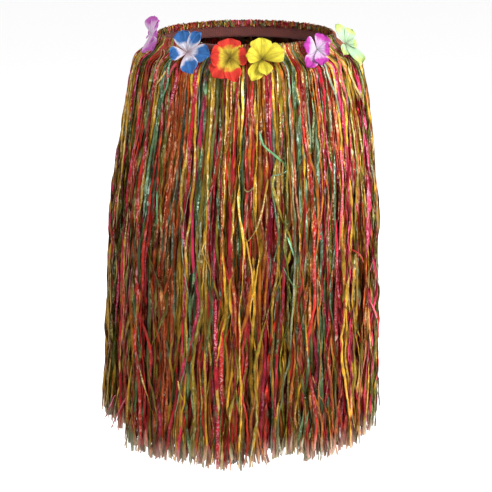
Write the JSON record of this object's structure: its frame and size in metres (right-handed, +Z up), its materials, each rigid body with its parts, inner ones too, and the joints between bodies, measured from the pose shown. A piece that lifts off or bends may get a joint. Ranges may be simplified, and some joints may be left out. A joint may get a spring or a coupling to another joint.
{
  "type": "grass skirt",
  "caption": "Worn hula skirt: long multicolour film strands hang from an elastic waistband dressed with cloth flowers round its front",
  "frame": {"origin": "centre of the waist opening, at half the height of the waistband", "axes": "+Z up, -Y to the front, where the flowers are, +X to the wearer's left"},
  "size_m": [0.4092, 0.3058, 0.6318],
  "materials": {
    "waistband": "matte",
    "strands": "glossy",
    "petal_pink": "satin",
    "petal_blue": "satin",
    "petal_red": "satin",
    "petal_yellow": "satin",
    "petal_magenta": "satin",
    "petal_mint": "satin"
  },
  "bodies": {
    "root": {"waistband": "waistband", "fringe_01": "strands", "fringe_02": "strands", "fringe_03": "strands", "fringe_04": "strands", "fringe_05": "strands", "fringe_06": "strands", "fringe_07": "strands", "fringe_08": "strands", "fringe_09": "strands", "fringe_10": "strands", "fringe_11": "strands", "fringe_12": "strands", "flower_pink": "petal_pink", "flower_blue": "petal_blue", "flower_red": "petal_red", "flower_yellow": "petal_yellow", "flower_magenta": "petal_magenta", "flower_mint": "petal_mint"}
  },
  "joints": []
}
